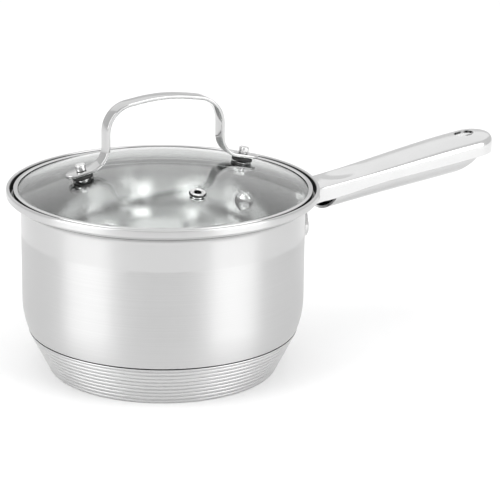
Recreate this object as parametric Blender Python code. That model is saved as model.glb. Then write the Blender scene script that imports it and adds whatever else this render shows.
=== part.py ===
"""Saucepan with a domed glass lid.

A pressed steel pan with a ringed base capsule and a hollow steel handle riveted to its wall, and
a glass lid with a steel rim band, a strap handle on two screws and a steam vent. Lengths are in
metres. The origin is the centre of the base's underside, +Z is up and the handle runs along +X.
"""

import math

import bmesh
import bpy
from mathutils import Matrix, Vector

# Fits
GAP = 0.0003                    # between pieces that touch
SCREW_CLEARANCE = 0.0003        # round a shank in its hole
LID_CLEARANCE = 0.0019          # between the rim band and the lip
WELD = 0.000001                 # distance under which doubled points are one

# Pan
PAN_RADIUS = 0.080              # outside of the straight wall
PAN_HEIGHT = 0.106              # underside of the base to the top of the lip
PAN_SHEET = 0.0008
BELLY_HEIGHT = 0.033            # where the straight wall starts to turn in
BELLY_FILLET = 0.060
FLOOR_FILLET = 0.012
LEDGE_WIDTH = 0.006             # the step on which the lid rests
LEDGE_RISE = 0.0010
LEDGE_FILLET = 0.0015
LIP_THICKNESS = 0.002
LIP_HEIGHT = 0.0052  # Base
JOINT_RADIUS = 0.0769           # top edge of the base cap
JOINT_HEIGHT = 0.0237
BASE_RADIUS = 0.0650            # bottom edge of the base cap
BASE_FILLET = 0.0015
RING_COUNT = 9
RING_DEPTH = 0.0005
CAP_SHEET = 0.0008
CORE_THICKNESS = 0.005
CORE_INSET = 0.004              # core's edge inside the foot of the cap's wall

# Pan handle
HANDLE_REACH = 0.1525           # from the wall to the tip
HANDLE_SHEET = 0.0015
HANDLE_SLOPE = 0.0925           # rise of the shoulder line over its length
HANDLE_DROP = 0.0142            # top of the lip to the shoulder line at the neck
NECK_REACH = 0.026              # from the wall to the narrowest section
NECK_WIDTH = 0.023
GRIP_WIDTH = 0.030
NECK_CROWN = 0.0024             # height of the rounded top over the shoulder line
GRIP_CROWN = 0.0062
SIDE_HEIGHT = 0.0055            # flat side of the upper shell, below the shoulder line
BELLY_DEPTH = 0.0090            # rounded bottom of the lower shell, below the sides
WIDEST_REACH = 0.130            # from the wall to the widest section
NOSE_LENGTH = 0.0150            # rounded end of the handle, seen from above
SECTION_POWER = 2.3             # 2 is an ellipse, and more is squarer
DISH_START = 0.026              # thumb dish, from the wall
DISH_LENGTH = 0.034
DISH_DEPTH = 0.0016
ROOT_MOUTH = 0.008              # slanted cut at each end of the lower shell
TIP_MOUTH = 0.016
LOWER_START = 0.0255            # lower shell's bottom edge, from the wall
LOWER_END = 0.117
SLOT_CENTRE = 0.0184            # from the tip
SLOT_LENGTH = 0.0125
SLOT_WIDTH = 0.0100 # Root flange and its rivets
FLANGE_HALF_WIDTH = 0.041       # along the wall
FLANGE_TOP = 0.0130             # below the top of the lip
FLANGE_HEIGHT = 0.0245
FLANGE_OPENING = math.radians(70)
FLANGE_GAP = 0.0010             # behind the flange, whose flare meets the wall at a slant
FLARE_POWER = 1.1
RIVET_ANGLE = math.radians(22)
RIVET_DROP = 0.0278             # below the top of the lip
RIVET_SHANK = 0.0026
RIVET_HEAD = 0.0060
RIVET_HEAD_HEIGHT = 0.0034
RIVET_TAIL = 0.0046
RIVET_TAIL_HEIGHT = 0.0012
RIVET_STANDOFF = 0.0010         # flange's flare under the edge of the tail

# Lid
GLASS_RISE = 0.0160             # edge to crown, on the upper surface
GLASS_THICKNESS = 0.0030
GLASS_EDGE_DROP = 0.0018        # top of the lip to the upper surface's edge
BAND_SHEET = 0.0006
BAND_COVER = 0.0026             # how far the band reaches over the glass
BAND_TOP = 0.0005               # below the top of the lip

# Lid handle
STRAP_ANGLE = math.radians(-8.2)  # from the pan handle's direction
STRAP_WIDTH = 0.0095
STRAP_THICKNESS = 0.0020
STRAP_SPAN = 0.0345             # from the lid's axis to a leg
STRAP_RISE = 0.0382             # crown of the glass to the middle of the strap's crown
STRAP_CAMBER = 0.0055           # drop from the crown to the shoulders
STRAP_SHOULDER = 0.0160         # bend radius at the top of a leg
STRAP_ANKLE = 0.0120            # bend radius at the foot of a leg
STRAP_CROWN = 0.0900            # bend radius across the top
STUD_SPAN = 0.0477              # from the lid's axis to a screw
FOOT_REACH = 0.0090             # foot's tip beyond its screw
PAD_LENGTH = 0.0120
PAD_WIDTH = 0.0095
PAD_THICKNESS = 0.0020
SCREW_SHANK = 0.0020
SCREW_HEAD = 0.0040
SCREW_HEAD_HEIGHT = 0.0024
NUT_RADIUS = 0.0029
NUT_HEIGHT = 0.0052
NUT_CAP = 0.0016
BUSH_WALL = 0.0008
WASHER_RADIUS = 0.0050
WASHER_THICKNESS = 0.0010
SEAL_RADIUS = 0.0055
SEAL_THICKNESS = 0.0015

# Steam vent
VENT_SPAN = 0.0513
VENT_ANGLE = math.radians(-99.8)
VENT_BORE = 0.0021
VENT_TUBE_WALL = 0.0007
VENT_FLANGE = 0.0043
VENT_FLANGE_HEIGHT = 0.0008
VENT_SEAL_RADIUS = 0.0048
VENT_SEAL_THICKNESS = 0.0006
VENT_WASHER_RADIUS = 0.0044
VENT_CURL = 0.0011

# Fineness of round shapes
ROUND_STEPS = 48
SMALL_STEPS = 16
ARC_STEPS = 3
SECTION_STEPS = 16

LIP_INNER_RADIUS = PAN_RADIUS + LEDGE_WIDTH
LIP_OUTER_RADIUS = LIP_INNER_RADIUS + LIP_THICKNESS
FLOOR_HEIGHT = CAP_SHEET + GAP + CORE_THICKNESS + GAP
BAND_RADIUS = LIP_INNER_RADIUS - LID_CLEARANCE
GLASS_RADIUS = BAND_RADIUS - BAND_SHEET - GAP
GLASS_EDGE_HEIGHT = PAN_HEIGHT - GLASS_EDGE_DROP
DOME_RADIUS = (GLASS_RADIUS ** 2 + GLASS_RISE ** 2) / (2 * GLASS_RISE)
DOME_TOP = GLASS_EDGE_HEIGHT + GLASS_RISE
EDGE_SLANT = math.cos(math.asin(GLASS_RADIUS / DOME_RADIUS))
LID_DEPTH = GLASS_EDGE_DROP + GLASS_THICKNESS / EDGE_SLANT + GAP + BAND_SHEET
LEDGE_DEPTH = LID_DEPTH + LEDGE_RISE + GAP      # top of the lip to the foot of the ledge
STUD_HOLE = SCREW_SHANK + SCREW_CLEARANCE
GLASS_STUD_HOLE = STUD_HOLE + BUSH_WALL + GAP
VENT_TUBE = VENT_BORE + VENT_TUBE_WALL
GLASS_VENT_HOLE = VENT_TUBE + GAP


# Outlines

def blend(start, end, share):
    return start + (end - start) * share


def ease(share):
    share = min(max(share, 0.0), 1.0)
    return share * share * (3 - 2 * share)


def rounded(corners, steps=ARC_STEPS):
    """Points of a path through corners (a, b, fillet radius), with an arc at each fillet."""
    points = []
    for index, (a, b, radius) in enumerate(corners):
        corner = Vector((a, b))
        if not radius:
            points.append((a, b))
            continue
        before = (Vector(corners[index - 1][:2]) - corner).normalized()
        after = (Vector(corners[index + 1][:2]) - corner).normalized()
        half = before.angle(after) / 2
        middle = corner + (before + after).normalized() * (radius / math.sin(half))
        start = corner + before * (radius / math.tan(half)) - middle
        sweep = math.pi - 2 * half
        turn = math.copysign(sweep, before.x * after.y - before.y * after.x)
        for step in range(steps + 1):
            angle = -turn * step / steps
            spun = Matrix.Rotation(angle, 2) @ start
            points.append(tuple(middle + spun))
    return points


def dome_height(radius, depth=0.0):
    """Height of the glass at a distance from the axis, on its upper surface or depth below it."""
    sphere = DOME_RADIUS - depth
    return DOME_TOP - DOME_RADIUS + math.sqrt(sphere ** 2 - radius ** 2)


def cone_radius(height):
    """Outer radius of the base cap, without its rings."""
    return blend(BASE_RADIUS, JOINT_RADIUS, height / JOINT_HEIGHT)


# Mesh building

def material(name, color, metallic, roughness, transmission=0.0):
    made = bpy.data.materials.new(name)
    made.use_nodes = True
    shader = made.node_tree.nodes["Principled BSDF"]
    shader.inputs["Base Color"].default_value = (*color, 1)
    shader.inputs["Metallic"].default_value = metallic
    shader.inputs["Roughness"].default_value = roughness
    shader.inputs["Transmission Weight"].default_value = transmission
    return made


def finish_object(name, shape, look, place=None):
    """The named object of a bmesh, placed by a matrix."""
    bmesh.ops.remove_doubles(shape, verts=shape.verts, dist=WELD)
    bmesh.ops.recalc_face_normals(shape, faces=shape.faces)
    mesh = bpy.data.meshes.new(name)
    shape.to_mesh(mesh)
    shape.free()
    mesh.materials.append(look)
    mesh.shade_smooth()
    mesh.set_sharp_from_angle(angle=math.radians(35))
    made = bpy.data.objects.new(name, mesh)
    bpy.context.scene.collection.objects.link(made)
    if place:
        made.matrix_world = place
    return made


def turned_shape(outline, steps, ring):
    """A bmesh of an outline (radius, height) spun round the Z axis. A ring's outline is closed."""
    shape = bmesh.new()
    points = [shape.verts.new((radius, 0, height)) for radius, height in outline]
    pairs = list(zip(points, points[1:]))
    if ring:
        pairs.append((points[-1], points[0]))
    edges = [shape.edges.new(pair) for pair in pairs]
    bmesh.ops.spin(shape, geom=points + edges, axis=(0, 0, 1), cent=(0, 0, 0),
                   angle=math.tau, steps=steps, use_merge=True)
    return shape


def turned(name, outline, look, steps=ROUND_STEPS, ring=True, place=None):
    return finish_object(name, turned_shape(outline, steps, ring), look, place)


def sleeve_outline(inner, outer, low, high):
    return [(inner, low), (outer, low), (outer, high), (inner, high)]


def grid_object(name, rows, look):
    """An open sheet through rows of points, with the same number of points in each row."""
    shape = bmesh.new()
    bmesh.ops.create_grid(shape, x_segments=len(rows[0]) - 1, y_segments=len(rows) - 1, size=1)
    shape.verts.ensure_lookup_table()
    places = [point for row in rows for point in row]
    for vert, place in zip(shape.verts, places):
        vert.co = place
    return finish_object(name, shape, look)


def thicken(sheet, thickness):
    """Gives an open sheet its thickness, on its inner side."""
    solidify = sheet.modifiers.new("thickness", "SOLIDIFY")
    solidify.thickness = thickness
    solidify.offset = -1
    solidify.use_quality_normals = True


def cut(piece, cutter):
    cutter.hide_render = True
    cutter.display_type = "WIRE"
    boolean = piece.modifiers.new("cut " + cutter.name, "BOOLEAN")
    boolean.operation = "DIFFERENCE"
    boolean.object = cutter
    boolean.solver = "EXACT"


def pin_cutter(name, radius, low, high, place, look):
    """A cutter for a round hole along the local Z axis of a place."""
    outline = [(0, low), (radius, low), (radius, high), (0, high)]
    return turned(name, outline, look, steps=SMALL_STEPS, ring=False, place=place)


# Pan and base

def make_pan_body(look, rivet_places):
    hidden = RING_DEPTH + CAP_SHEET + GAP
    foot = cone_radius(FLOOR_HEIGHT) - hidden
    seat_height = JOINT_HEIGHT + GAP
    seat = cone_radius(seat_height) - hidden
    ledge = PAN_HEIGHT - LEDGE_DEPTH
    outer = rounded([
        (0, FLOOR_HEIGHT, 0),
        (foot, FLOOR_HEIGHT, FLOOR_FILLET),
        (seat, seat_height, 0),
        (JOINT_RADIUS, seat_height, 0),
        (PAN_RADIUS, BELLY_HEIGHT, BELLY_FILLET),
        (PAN_RADIUS, ledge - PAN_SHEET, LEDGE_FILLET),
        (LIP_INNER_RADIUS, ledge + LEDGE_RISE - PAN_SHEET, LEDGE_FILLET),
        (LIP_OUTER_RADIUS - LIP_THICKNESS / 2, PAN_HEIGHT - LIP_HEIGHT, 0),
        (LIP_OUTER_RADIUS, PAN_HEIGHT - LIP_HEIGHT, 0),
    ])
    lip = rounded([
        (LIP_OUTER_RADIUS, PAN_HEIGHT - LIP_HEIGHT, 0),
        (LIP_OUTER_RADIUS, PAN_HEIGHT, LIP_THICKNESS * 0.4),
        (LIP_INNER_RADIUS, PAN_HEIGHT, LIP_THICKNESS * 0.4),
        (LIP_INNER_RADIUS, ledge + LEDGE_RISE, LEDGE_FILLET),
        (PAN_RADIUS - PAN_SHEET, ledge, LEDGE_FILLET / 2),
        (PAN_RADIUS - PAN_SHEET, BELLY_HEIGHT, BELLY_FILLET),
        (seat - PAN_SHEET, JOINT_HEIGHT, BELLY_FILLET / 2),
        (foot - PAN_SHEET, FLOOR_HEIGHT + PAN_SHEET, FLOOR_FILLET - PAN_SHEET),
        (0, FLOOR_HEIGHT + PAN_SHEET, 0),
    ], steps=2)
    body = turned("pan_body", outer + lip[1:], look, ring=False)
    for index, place in enumerate(rivet_places):
        radius = RIVET_SHANK + SCREW_CLEARANCE
        reach = 4 * PAN_SHEET
        cut(body, pin_cutter(f"wall_hole_{index}", radius, -reach, reach, place, look))


def make_base_cap(look):
    pitch = (JOINT_HEIGHT - BASE_FILLET) / RING_COUNT
    outer = rounded([
        (0, 0, 0),
        (BASE_RADIUS, 0, BASE_FILLET),
        (cone_radius(BASE_FILLET * 2), BASE_FILLET * 2, 0),
    ], steps=2)[:-1]
    for ring in range(RING_COUNT):
        for share, depth in ((0.10, RING_DEPTH), (0.45, 0)):
            height = BASE_FILLET + (ring + share) * pitch
            outer.append((cone_radius(height) - depth, height))
    wall = RING_DEPTH + CAP_SHEET
    inner = [
        (JOINT_RADIUS, JOINT_HEIGHT),
        (JOINT_RADIUS - wall, JOINT_HEIGHT),
        (cone_radius(CAP_SHEET) - wall, CAP_SHEET),
        (0, CAP_SHEET),
    ]
    turned("base_cap", outer + inner, look, ring=False)


def make_base_core(look):
    low = CAP_SHEET + GAP
    radius = cone_radius(low) - RING_DEPTH - CAP_SHEET - CORE_INSET
    outline = [(0, low), (radius, low), (radius, low + CORE_THICKNESS), (0, low + CORE_THICKNESS)]
    turned("base_core_disc", outline, look, ring=False)


# Pan handle

def neck_x():
    return PAN_RADIUS + NECK_REACH


def tip_x():
    return PAN_RADIUS + HANDLE_REACH


def shoulder_height(x):
    return PAN_HEIGHT - HANDLE_DROP + HANDLE_SLOPE * (x - neck_x())


def nose_share(x):
    """One along the handle, falling to nothing round its nose."""
    past = max(0.0, x - (tip_x() - NOSE_LENGTH)) / NOSE_LENGTH
    return math.sqrt(max(0.0, 1 - past ** 2))


def widening(x):
    return ease((x - neck_x()) / (WIDEST_REACH - NECK_REACH))


def half_width(x):
    return blend(NECK_WIDTH, GRIP_WIDTH, widening(x)) / 2 * nose_share(x)


def crown_height(x):
    return blend(NECK_CROWN, GRIP_CROWN, widening(x)) * math.sqrt(nose_share(x))


def dish_depth(x, across):
    """Depth of the thumb dish, across being 0 on the handle's centreline and 1 at its side."""
    along = (x - PAN_RADIUS - DISH_START) / DISH_LENGTH
    if not 0 < along < 1:
        return 0.0
    return DISH_DEPTH * math.sin(math.pi * along) ** 2 * max(0.0, 1 - across ** 2) ** 2


def power_arc(angle):
    """(across, up) on a squared quarter arc, from (1, 0) at angle 0 to (0, 1)."""
    across = math.copysign(abs(math.cos(angle)) ** (2 / SECTION_POWER), math.cos(angle))
    return across, abs(math.sin(angle)) ** (2 / SECTION_POWER)


def upper_section(x):
    """The upper shell's outer line at x, from its near bottom edge over the top to the far one."""
    width = half_width(x)
    shoulder = shoulder_height(x)
    edge = shoulder - SIDE_HEIGHT
    points = [Vector((x, -width, edge)), Vector((x, -width, (edge + shoulder) / 2))]
    for step in range(SECTION_STEPS + 1):
        across, up = power_arc(math.pi * (1 - step / SECTION_STEPS))
        height = shoulder + crown_height(x) * up - dish_depth(x, across)
        points.append(Vector((x, across * width, height)))
    points += [Vector((x, width, (edge + shoulder) / 2)), Vector((x, width, edge))]
    return points


def wall_point(across, height, away):
    """A point outside the pan's wall, at a lateral place and height."""
    return Vector((math.sqrt(PAN_RADIUS ** 2 - across ** 2) + away, across, height))


def flange_edge(share):
    """(lateral place, height) on the flange's outline, share going from near foot to far foot."""
    middle = PAN_HEIGHT - FLANGE_TOP - FLANGE_HEIGHT / 2
    angle = blend(math.pi + FLANGE_OPENING, -FLANGE_OPENING, share)
    across, up = power_arc(angle)
    lateral = PAN_RADIUS * math.sin(across * FLANGE_HALF_WIDTH / PAN_RADIUS)
    return lateral, middle + math.copysign(up, math.sin(angle)) * FLANGE_HEIGHT / 2


def flange_row(turn, neck):
    """A row of the flare between the neck's section, at turn 0, and the flange's edge, at 1."""
    row = []
    for index, start in enumerate(neck):
        lateral, height = flange_edge(index / (len(neck) - 1))
        sideways = 1 - math.cos(turn * math.pi / 2)
        closeness = (1 - math.sin(turn * math.pi / 2)) ** FLARE_POWER
        across = blend(start.y, lateral, sideways)
        touching = HANDLE_SHEET + FLANGE_GAP
        away = start.x - wall_point(start.y, 0, touching).x
        row.append(wall_point(across, blend(start.z, height, sideways), touching + away * closeness))
    return row


def along_handle(start, end, count):
    return [blend(start, end, step / count) for step in range(count + 1)]


def make_upper_shell(look, rivet_places):
    flare_rows = 7
    grip_rows = 16
    nose_rows = 6
    neck = upper_section(neck_x())
    rows = [flange_row(1 - step / flare_rows, neck) for step in range(flare_rows)]
    nose_start = tip_x() - NOSE_LENGTH
    rows += [upper_section(x) for x in along_handle(neck_x(), nose_start, grip_rows)]
    for step in range(1, nose_rows + 1):
        turn = step / nose_rows * math.pi / 2
        rows.append(upper_section(nose_start + NOSE_LENGTH * math.sin(turn)))
    shell = grid_object("handle_upper_shell", rows, look)
    thicken(shell, HANDLE_SHEET)
    cut(shell, slot_cutter(look))
    for index, place in enumerate(rivet_places):
        radius = RIVET_SHANK + SCREW_CLEARANCE
        reach = 3 * (HANDLE_SHEET + RIVET_STANDOFF)
        cut(shell, pin_cutter(f"flange_hole_{index}", radius, 0, reach, place, look))


def slot_cutter(look):
    """The hanging slot in the handle's top, near its tip."""
    shape = bmesh.new()
    straight = (SLOT_LENGTH - SLOT_WIDTH) / 2
    bmesh.ops.create_circle(shape, cap_ends=True, segments=SMALL_STEPS, radius=SLOT_WIDTH / 2)
    for vert in shape.verts:
        vert.co.x += math.copysign(straight, vert.co.x)
    made = bmesh.ops.extrude_face_region(shape, geom=shape.faces[:])
    raised = [item for item in made["geom"] if isinstance(item, bmesh.types.BMVert)]
    bmesh.ops.translate(shape, verts=raised, vec=(0, 0, 2 * SIDE_HEIGHT))
    centre = tip_x() - SLOT_CENTRE
    place = Matrix.Translation((centre, 0, shoulder_height(centre) - SIDE_HEIGHT / 2))
    return finish_object("hang_slot_cutter", shape, look, place)


def lower_section_point(x, angle):
    across, down = power_arc(angle)
    seam = shoulder_height(x) - SIDE_HEIGHT - GAP
    return Vector((x, across * half_width(x), seam - BELLY_DEPTH * down))


def make_lower_shell(look):
    rows = []
    length_rows = 14
    for step in range(length_rows + 1):
        row = []
        for turn in range(SECTION_STEPS + 1):
            angle = math.pi * (1 - turn / SECTION_STEPS)
            down = math.sin(angle)
            start = PAN_RADIUS + LOWER_START + ROOT_MOUTH * (1 - down)
            end = PAN_RADIUS + LOWER_END + TIP_MOUTH * (1 - down)
            row.append(lower_section_point(blend(start, end, step / length_rows), angle))
        rows.append(row[::-1])
    thicken(grid_object("handle_lower_shell", rows, look), HANDLE_SHEET)


def rivet_place(side):
    """Where a rivet crosses the wall, with its local Z axis pointing out of the pan."""
    angle = side * RIVET_ANGLE
    turn = Matrix.Rotation(angle, 4, "Z") @ Matrix.Rotation(math.pi / 2, 4, "Y")
    radial = Vector((math.cos(angle), math.sin(angle), 0)) * PAN_RADIUS
    return Matrix.Translation(radial + Vector((0, 0, PAN_HEIGHT - RIVET_DROP))) @ turn


def make_rivet(name, place, look):
    head_face = -(PAN_SHEET + GAP + RIVET_HEAD ** 2 / (2 * PAN_RADIUS))
    tail_face = FLANGE_GAP + HANDLE_SHEET + RIVET_STANDOFF
    outline = [(0, head_face - RIVET_HEAD_HEIGHT)]
    for step in range(1, ARC_STEPS + 1):
        turn = step / ARC_STEPS * math.pi / 2
        outline.append((RIVET_HEAD * math.sin(turn), head_face - RIVET_HEAD_HEIGHT * math.cos(turn)))
    outline += [
        (RIVET_SHANK, head_face),
        (RIVET_SHANK, tail_face),
        (RIVET_TAIL, tail_face),
        (RIVET_TAIL * 0.8, tail_face + RIVET_TAIL_HEIGHT),
        (0, tail_face + RIVET_TAIL_HEIGHT),
    ]
    turned(name, outline, look, steps=SMALL_STEPS, ring=False, place=place)


# Lid

def lid_place(span, angle):
    """A place on the glass's upper surface, with its local Z axis pointing out of the glass."""
    tilt = math.asin(span / DOME_RADIUS)
    point = Vector((span, 0, dome_height(span)))
    turn = Matrix.Rotation(angle, 4, "Z")
    return turn @ Matrix.Translation(point) @ Matrix.Rotation(tilt, 4, "Y")


def make_glass(look, stud_places, vent_place):
    steps = 6
    upper = [blend(0, GLASS_RADIUS - GLASS_THICKNESS / 4, step / steps) for step in range(steps + 1)]
    outline = [(radius, dome_height(radius)) for radius in upper]
    edge_low = dome_height(GLASS_RADIUS, GLASS_THICKNESS)
    outline.append((GLASS_RADIUS, blend(edge_low, GLASS_EDGE_HEIGHT, 0.7)))
    outline.append((GLASS_RADIUS, blend(edge_low, GLASS_EDGE_HEIGHT, 0.35)))
    outline += [(radius, dome_height(radius, GLASS_THICKNESS)) for radius in reversed(upper)]
    glass = turned("lid_glass", outline, look, ring=False)
    low = -2 * GLASS_THICKNESS
    high = GLASS_THICKNESS
    for index, place in enumerate(stud_places):
        cut(glass, pin_cutter(f"stud_hole_{index}", GLASS_STUD_HOLE, low, high, place, look))
    cut(glass, pin_cutter("vent_hole", GLASS_VENT_HOLE, low, high, vent_place, look))


def make_rim_band(look):
    """A channel round the glass's edge: a wall, and a sheet above and below the glass."""
    inner = BAND_RADIUS - BAND_COVER
    wall = BAND_RADIUS - BAND_SHEET
    top = PAN_HEIGHT - BAND_TOP
    over = dome_height(inner) + GAP
    under_inner = dome_height(inner, GLASS_THICKNESS) - GAP
    under_wall = dome_height(wall, GLASS_THICKNESS) - GAP
    outline = [
        (inner, over),
        (wall, max(over, GLASS_EDGE_HEIGHT + GAP)),
        (wall, under_wall),
        (inner, under_inner),
        (inner, under_inner - BAND_SHEET),
        (BAND_RADIUS, under_wall - BAND_SHEET),
        (BAND_RADIUS, top - BAND_SHEET),
        (BAND_RADIUS - BAND_SHEET, top),
        (inner + BAND_SHEET, top),
        (inner, over + BAND_SHEET),
    ]
    turned("lid_rim_band", outline, look)


def strap_centreline():
    """(across the lid, height) along the middle of the strap, from one foot's tip to the other."""
    stack = PAD_THICKNESS + 2 * GAP + STRAP_THICKNESS / 2
    tilt = math.asin(STUD_SPAN / DOME_RADIUS)
    up = Vector((math.sin(tilt), math.cos(tilt)))
    out = Vector((math.cos(tilt), -math.sin(tilt)))
    stud = Vector((STUD_SPAN, dome_height(STUD_SPAN))) + up * stack
    tip = stud + out * FOOT_REACH
    ankle = stud - out * ((stud.x - STRAP_SPAN) / out.x)
    crown = DOME_TOP + STRAP_RISE
    toe = [tip - out * (STRAP_WIDTH / 2 * share) for share in (0.12, 0.45)]
    half = [
        (tip.x, tip.y, 0),
        (toe[0].x, toe[0].y, 0),
        (toe[1].x, toe[1].y, 0),
        (ankle.x, ankle.y, STRAP_ANKLE),
        (STRAP_SPAN, crown - STRAP_CAMBER, STRAP_SHOULDER),
    ]
    crown_corner = (0, crown, STRAP_CROWN)
    mirrored = [(-across, height, radius) for across, height, radius in reversed(half)]
    return rounded(half + [crown_corner] + mirrored, steps=6)


def make_strap(look, stud_places):
    path = [Vector(point) for point in strap_centreline()]
    shape = bmesh.new()
    rings = []
    for index, point in enumerate(path):
        ahead = path[min(index + 1, len(path) - 1)] - path[max(index - 1, 0)]
        along = ahead.normalized()
        side = Vector((-along.y, along.x)) * (STRAP_THICKNESS / 2)
        from_tip = min((point - path[0]).length, (point - path[-1]).length) + STRAP_WIDTH * 0.05
        short = max(0.0, 1 - from_tip / (STRAP_WIDTH / 2))
        width = STRAP_WIDTH / 2 * math.sqrt(1 - short ** 2)
        corners = ((side, -width), (side, width), (-side, width), (-side, -width))
        ring = []
        for offset, across in corners:
            edge = point + offset
            ring.append(shape.verts.new((edge.x, across, edge.y)))
        rings.append(ring)
    for first, second in zip(rings, rings[1:]):
        for corner in range(4):
            after = (corner + 1) % 4
            shape.faces.new((first[corner], first[after], second[after], second[corner]))
    shape.faces.new(rings[0])
    shape.faces.new(rings[-1])
    turn = Matrix.Rotation(STRAP_ANGLE, 4, "Z")
    strap = finish_object("lid_strap_handle", shape, look, turn)
    high = 4 * (PAD_THICKNESS + STRAP_THICKNESS)
    for index, place in enumerate(stud_places):
        cut(strap, pin_cutter(f"foot_hole_{index}", STUD_HOLE, 0, high, place, look))


def make_pad(name, place, look):
    shape = bmesh.new()
    straight = (PAD_LENGTH - PAD_WIDTH) / 2
    bmesh.ops.create_circle(shape, cap_ends=True, segments=SMALL_STEPS, radius=PAD_WIDTH / 2)
    for vert in shape.verts:
        vert.co.x += math.copysign(straight, vert.co.x)
        vert.co.z = GAP
    made = bmesh.ops.extrude_face_region(shape, geom=shape.faces[:])
    raised = [item for item in made["geom"] if isinstance(item, bmesh.types.BMVert)]
    bmesh.ops.translate(shape, verts=raised, vec=(0, 0, PAD_THICKNESS))
    pad = finish_object(name, shape, look, place)
    cut(pad, pin_cutter(name + "_hole", STUD_HOLE, -GAP, 2 * PAD_THICKNESS, place, look))


def make_stud(side, place, looks):
    """The screw, nut, bush, seal and washer at one foot of the strap."""
    seal_top = -GLASS_THICKNESS - GAP - (SEAL_RADIUS ** 2) / (2 * DOME_RADIUS)
    seal_low = seal_top - SEAL_THICKNESS
    washer_low = seal_low - GAP - WASHER_THICKNESS
    head_top = washer_low - GAP
    head_low = head_top - SCREW_HEAD_HEIGHT
    nut_low = PAD_THICKNESS + STRAP_THICKNESS + 3 * GAP
    nut_top = nut_low + NUT_HEIGHT
    bore_top = nut_top - NUT_CAP
    make_pad("lid_pad_" + side, place, looks["rubber"])
    parts = (
        ("lid_bush_", sleeve_outline(STUD_HOLE, STUD_HOLE + BUSH_WALL, GAP - GLASS_THICKNESS, -GAP),
         "rubber", True),
        ("lid_inner_seal_", sleeve_outline(STUD_HOLE, SEAL_RADIUS, seal_low, seal_top),
         "rubber", True),
        ("lid_inner_washer_",
         sleeve_outline(STUD_HOLE, WASHER_RADIUS, washer_low, seal_low - GAP), "fastener", True),
        ("lid_screw_", [
            (0, head_low), (SCREW_HEAD * 0.75, head_low), (SCREW_HEAD, head_top - GAP),
            (SCREW_HEAD, head_top), (SCREW_SHANK, head_top), (SCREW_SHANK, bore_top - GAP),
            (0, bore_top - GAP)], "fastener", False),
        ("lid_nut_", [
            (STUD_HOLE, nut_low), (NUT_RADIUS, nut_low), (NUT_RADIUS, nut_top - NUT_CAP / 2),
            (NUT_RADIUS * 0.7, nut_top), (0, nut_top), (0, bore_top), (STUD_HOLE, bore_top)],
         "fastener", True),
    )
    for prefix, outline, look, ring in parts:
        turned(prefix + side, outline, looks[look], steps=SMALL_STEPS, ring=ring, place=place)


def make_vent(place, looks):
    """The eyelet, its seal above the glass and its washer below."""
    seat = GAP + VENT_SEAL_THICKNESS + GAP
    below = -GLASS_THICKNESS - GAP - VENT_WASHER_RADIUS ** 2 / (2 * DOME_RADIUS)
    washer_low = below - VENT_SEAL_THICKNESS
    curl_top = washer_low - GAP
    curl_low = curl_top - VENT_FLANGE_HEIGHT
    eyelet = [
        (VENT_BORE, curl_low),
        (VENT_TUBE + VENT_CURL, curl_low),
        (VENT_TUBE + VENT_CURL, curl_top),
        (VENT_TUBE, curl_top),
        (VENT_TUBE, seat),
        (VENT_FLANGE, seat),
        (VENT_FLANGE, seat + VENT_FLANGE_HEIGHT / 2),
        (blend(VENT_BORE, VENT_FLANGE, 0.6), seat + VENT_FLANGE_HEIGHT),
        (VENT_BORE, seat + VENT_FLANGE_HEIGHT / 2),
    ]
    hole = VENT_TUBE + GAP
    seal = sleeve_outline(hole, VENT_SEAL_RADIUS, GAP, GAP + VENT_SEAL_THICKNESS)
    washer = sleeve_outline(hole, VENT_WASHER_RADIUS, washer_low, below)
    turned("vent_eyelet", eyelet, looks["fastener"], steps=SMALL_STEPS, place=place)
    turned("vent_seal", seal, looks["rubber"], steps=SMALL_STEPS, place=place)
    turned("vent_washer", washer, looks["fastener"], steps=SMALL_STEPS, place=place)


def main():
    for old in list(bpy.data.objects):
        bpy.data.objects.remove(old, do_unlink=True)
    looks = {
        "satin": material("satin steel", (0.62, 0.62, 0.62), 1.0, 0.32),
        "polished": material("polished steel", (0.75, 0.75, 0.75), 1.0, 0.12),
        "core": material("aluminium core", (0.70, 0.70, 0.71), 1.0, 0.45),
        "fastener": material("steel fastener", (0.66, 0.66, 0.66), 1.0, 0.22),
        "rubber": material("dark silicone", (0.05, 0.05, 0.05), 0.0, 0.6),
        "glass": material("clear glass", (0.94, 0.97, 0.96), 0.0, 0.02, transmission=1.0),
    }
    rivets = [rivet_place(-1), rivet_place(1)]
    studs = [lid_place(STUD_SPAN, STRAP_ANGLE + math.pi), lid_place(STUD_SPAN, STRAP_ANGLE)]
    vent = lid_place(VENT_SPAN, VENT_ANGLE)
    make_pan_body(looks["satin"], rivets)
    make_base_cap(looks["satin"])
    make_base_core(looks["core"])
    make_upper_shell(looks["polished"], rivets)
    make_lower_shell(looks["polished"])
    make_glass(looks["glass"], studs, vent)
    make_rim_band(looks["polished"])
    make_strap(looks["polished"], studs)
    for side, place in zip(("front", "rear"), rivets):
        make_rivet("handle_rivet_" + side, place, looks["fastener"])
    for side, place in zip(("left", "right"), studs):
        make_stud(side, place, looks)
    make_vent(vent, looks)


main()
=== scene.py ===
"""Saucepan with a domed glass lid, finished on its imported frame.

Every piece is built at rest in the frame's own metres, with +Z up the pan's axis and the handle
along +X, and rides on the frame's body "pan" or "lid".
"""

import math

import bmesh
import bpy
from bpy.props import FloatProperty, FloatVectorProperty, IntProperty, PointerProperty
from mathutils import Matrix, Vector


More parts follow.
